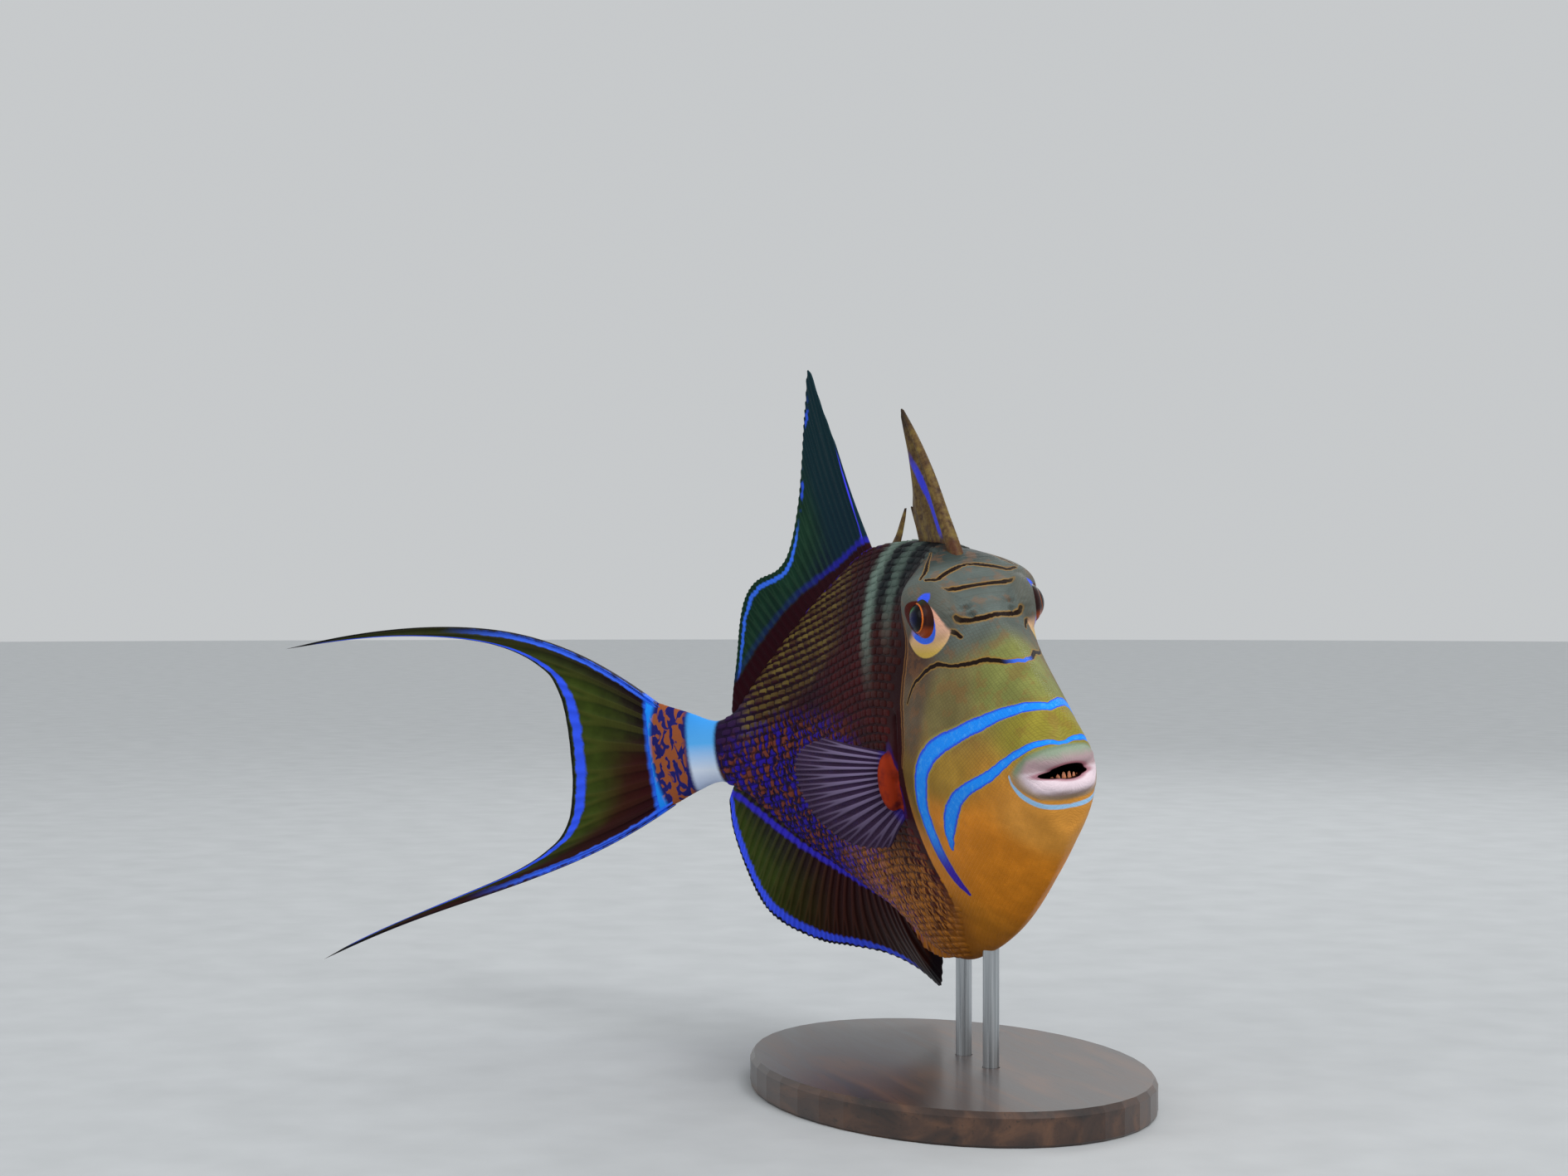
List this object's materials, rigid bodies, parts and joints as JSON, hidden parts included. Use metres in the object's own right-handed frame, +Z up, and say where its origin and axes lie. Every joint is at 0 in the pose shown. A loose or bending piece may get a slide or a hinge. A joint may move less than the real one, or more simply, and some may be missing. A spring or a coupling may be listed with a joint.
{
  "type": "queen triggerfish",
  "caption": "Life-size still model of a queen triggerfish, banked a little with its tail bent to one side, on a plain oval display stand.",
  "frame": {"origin": "centre of the display base's underside, on the surface that it stands on", "axes": "+X towards the fish's snout, +Y to the fish's left, +Z up. The tail bends away to the fish's right, -Y"},
  "size_m": [0.4035, 0.2817, 0.2724],
  "materials": {
    "face_skin": "satin scaled skin, ochre to orange, with two bright blue stripes",
    "body_skin": "satin scaled skin, dark maroon with ochre and violet marks",
    "stalk_skin": "satin scaled skin, pale blue with an orange and blue maze",
    "eye": "wet gloss",
    "tooth": "glossy, pinkish white",
    "spine": "satin, brown and olive with a violet-blue stripe",
    "fin": "satin, dark olive and maroon with blue edges",
    "pectoral": "satin, grey-violet with pale rays",
    "base": "dark satin varnish",
    "rod": "brushed"
  },
  "bodies": {
    "root": {"head": "face_skin", "trunk": "body_skin", "tail_stalk": "stalk_skin", "eye_left": "eye", "eye_right": "eye", "teeth_upper": "tooth", "teeth_lower": "tooth", "spiny_dorsal_fin": "spine", "third_dorsal_spine": "spine", "soft_dorsal_fin": "fin", "anal_fin": "fin", "tail_fin_upper": "fin", "tail_fin_lower": "fin", "pectoral_fin_right": "pectoral", "pectoral_fin_left": "pectoral", "pelvic_flap": "face_skin", "stand_base": "base", "stand_rod_front": "rod", "stand_rod_rear": "rod"}
  },
  "joints": []
}
